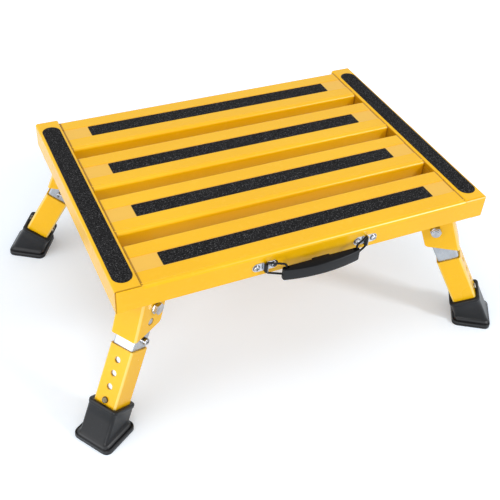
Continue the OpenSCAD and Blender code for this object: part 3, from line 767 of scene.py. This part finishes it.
# %% Grit scattered over the tapes
SEEDS = {"where": 11, "turn": 5, "size": 9, "ripple": 3}
FULL_TURN = 6.283
points, faces = [], []
for outline in tapes.values():
    faces.append(tuple(range(len(points), len(points) + len(outline))))
    points += outline
field = plain_object("grit_field", points, faces=faces)
grit = Growth("scatter_grit")
density = grit.size("grains per square metre", 420000.0)
grain = grit.size("grain radius", 0.00030)
spots = grit.node("GeometryNodeDistributePointsOnFaces", None,
                  {"Mesh": grit.entry.outputs["Base"], "Density": density,
                   "Seed": SEEDS["where"]})
cone = grit.node("GeometryNodeMeshCone", None,
                 {"Vertices": 4, "Radius Top": 0.0, "Radius Bottom": grain, "Depth": grain})
turn = grit.node("FunctionNodeRandomValue", {"data_type": "FLOAT_VECTOR"},
                 {0: (0.0, 0.0, 0.0), 1: (FULL_TURN, FULL_TURN, FULL_TURN),
                  "Seed": SEEDS["turn"]})
swell = grit.node("FunctionNodeRandomValue", {"data_type": "FLOAT"},
                  {2: 0.5, 3: 1.0, "Seed": SEEDS["size"]}, 1)
grains = grit.node("GeometryNodeInstanceOnPoints", None,
                   {"Points": spots, "Instance": cone, "Rotation": turn, "Scale": swell})
grit.finish(grains, finishes["strip"])
grains = grit.grow("tape_grit", field)
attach(grains, "deck")

# %% [markdown]
# ## Weld seams
# The skirts of the treads are welded to the inner walls of the rails, out of sight from above, and
# each leg bracket is welded to its corner plate. A plain round bead along the joint looks like a
# wire. A weld is a row of small overlapping ripples of uneven size, so balls are set close together
# along a line, and the powder coat goes over them.

# %% Lines of the weld seams
SKIRT_WALL, SKIRT_Z, SEAM_SUNK = 0.0022, (0.1835, 0.2045), 0.0004
PLATE_IN, PLATE_OUT, PLATE_HALF, PLATE_Z = -0.0245, 0.0180, 0.0183, 0.0219
PLATE_CORNER, CORNER_MIDDLE = 0.004, 0.0012


def skirt_seams():
    rail_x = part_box("side_rail_right")[0][0]
    for name in TREADS:
        low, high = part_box("tread_" + name)
        for side in (-1, 1):
            for y in (low[1] + SKIRT_WALL, high[1] - SKIRT_WALL):
                yield [(side * (rail_x - SEAM_SUNK), y, z) for z in SKIRT_Z]


def bracket_seams():
    row = [(PLATE_IN, PLATE_HALF), (PLATE_OUT - PLATE_CORNER, PLATE_HALF),
           (PLATE_OUT - CORNER_MIDDLE, PLATE_HALF - CORNER_MIDDLE),
           (PLATE_OUT, PLATE_HALF - PLATE_CORNER)]
    row += [(x, -y) for x, y in reversed(row)]
    for sx, sy in CORNERS.values():
        yield [pivot_frame(sx, sy) @ Vector((x, y, PLATE_Z)) for x, y in row]


points, edges = [], []
for seam in list(skirt_seams()) + list(bracket_seams()):
    edges += [(len(points) + i, len(points) + i + 1) for i in range(len(seam) - 1)]
    points += seam
lines = plain_object("seam_lines", points, edges=edges)
print("seam lines with", len(points), "points")

# %% Ripples along the lines
weld = Growth("weld_ripples")
step = weld.size("ripple step", 0.0012)
radius = weld.size("ripple radius", 0.0017)
path = weld.node("GeometryNodeMeshToCurve", None, {0: weld.entry.outputs["Base"]})
beads = weld.node("GeometryNodeResampleCurve", {"mode": "LENGTH"}, {0: path, "Length": step})
drop = weld.node("GeometryNodeMeshIcoSphere", None, {"Radius": radius, "Subdivisions": 2})
uneven = weld.node("FunctionNodeRandomValue", {"data_type": "FLOAT"},
                   {2: 0.88, 3: 1.08, "Seed": SEEDS["ripple"]}, 1)
ripples = weld.node("GeometryNodeInstanceOnPoints", None,
                    {"Points": beads, "Instance": drop, "Scale": uneven})
weld.finish(ripples, finishes["deck_paint"])
seams = weld.grow("weld_seams", lines)
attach(seams, "deck")

# %% [markdown]
# ## Floor and light
# The studio is a white sweep. More light would turn the floor white but would bleach the paint too,
# so the floor and what lies behind it are made white only to the eye and in reflections, and the
# floor keeps a soft grey shadow. From below the floor is clear, so the underside of the step can be
# looked at. A large soft lamp at the left and one above leave no hard edge, a smaller one at the
# front right draws the bright line along the front bend, which a painted highlight in the yellow
# coat strengthens, and a low one in front lifts the faces of the legs.


# %% What the eye and reflections see
def seen_by(net, *rays):
    path = net.tree.nodes.new("ShaderNodeLightPath")
    seen, *others = [Val(net, path.outputs[ray]) for ray in rays]
    for other in others:
        seen = net.calc("MAXIMUM", seen, other)
    return seen


# %% Floor
FLOOR_HALF = 6.0
FLOOR_GREY, FLOOR_WHITE = (0.62, 0.62, 0.62, 1), (0.83, 0.91, 1.00, 1)
GLOW_NEAR, GLOW_FAR, GLOW_FADE = 0.19, 0.5, (0.25, 1.1)
WHITE = (1, 1, 1, 1)


def floor_finish():
    f = Finish("white_floor", Specular_IOR_Level=0.1, Roughness=0.9)
    seen = seen_by(f, "Is Camera Ray", "Is Glossy Ray")
    away = f.node("ShaderNodeVectorMath", {"operation": "LENGTH"}, {0: f.place}, out="Value")
    f.feed(Base_Color=f.mix(seen, FLOOR_GREY, FLOOR_WHITE), Emission_Color=WHITE,
           Emission_Strength=seen * (GLOW_NEAR + away.band(*GLOW_FADE) * GLOW_FAR))
    under = f.node("ShaderNodeNewGeometry", out="Backfacing")
    clear = f.node("ShaderNodeBsdfTransparent")
    sheet = f.node("ShaderNodeMixShader", None,
                   {0: under, 1: Val(f, f.shader.outputs["BSDF"]), 2: clear})
    f.put(f.tree.nodes["Material Output"].inputs["Surface"], sheet)
    return f.material


floor = plain_object("floor", [(x * FLOOR_HALF, y * FLOOR_HALF, 0)
                               for x, y in ((-1, -1), (1, -1), (1, 1), (-1, 1))],
                     faces=[(0, 1, 2, 3)])
floor.data.materials.append(floor_finish())
print("floor", 2 * FLOOR_HALF, "m wide, materials", len(floor.data.materials))

# %% World
WORLD_LIGHT, WORLD_SEEN = 0.55, 1.0


def white_world():
    world = bpy.data.worlds.new("studio")
    bpy.context.scene.world = world
    world.use_nodes = True
    net = Net(world.node_tree)
    light = net.tree.nodes["Background"]
    net.put(light.inputs["Color"], WHITE)
    net.put(light.inputs["Strength"], WORLD_LIGHT)
    seen = net.node("ShaderNodeBackground", None, {"Color": WHITE, "Strength": WORLD_SEEN})
    rays = seen_by(net, "Is Camera Ray", "Is Glossy Ray", "Is Transmission Ray")
    mix = net.node("ShaderNodeMixShader", None,
                   {0: rays, 1: Val(net, light.outputs[0]), 2: seen})
    net.put(net.tree.nodes["World Output"].inputs["Surface"], mix)
    return world


print("world", white_world().name, "lights at", WORLD_LIGHT, "and is seen at", WORLD_SEEN)

# %% Soft lamps
AIM = Vector((0, 0, 0.1))
LAMPS = {"top": ((-0.3, -0.2, 2.2), 1.2, 9), "front_right": ((1.27, -1.45, 1.42), 0.38, 16),
         "left": ((-2.1, -0.38, 0.8), 2.0, 23), "low_front": ((-1.05, -2.1, 0.4), 0.5, 11)}


def soft_lamp(name, spot, size, power):
    lamp = new_object(name, bpy.data.lights.new(name, "AREA"))
    lamp.data.shape = "SQUARE"
    lamp.data.size = size
    lamp.data.energy = power
    lamp.location = spot
    lamp.rotation_euler = (AIM - Vector(spot)).to_track_quat("-Z", "Y").to_euler()
    print(name, power, "W,", round((AIM - Vector(spot)).length, 2), "m away")


for name, (spot, size, power) in LAMPS.items():
    soft_lamp(name, spot, size, power)
bpy.context.scene.view_settings.view_transform = "Standard"
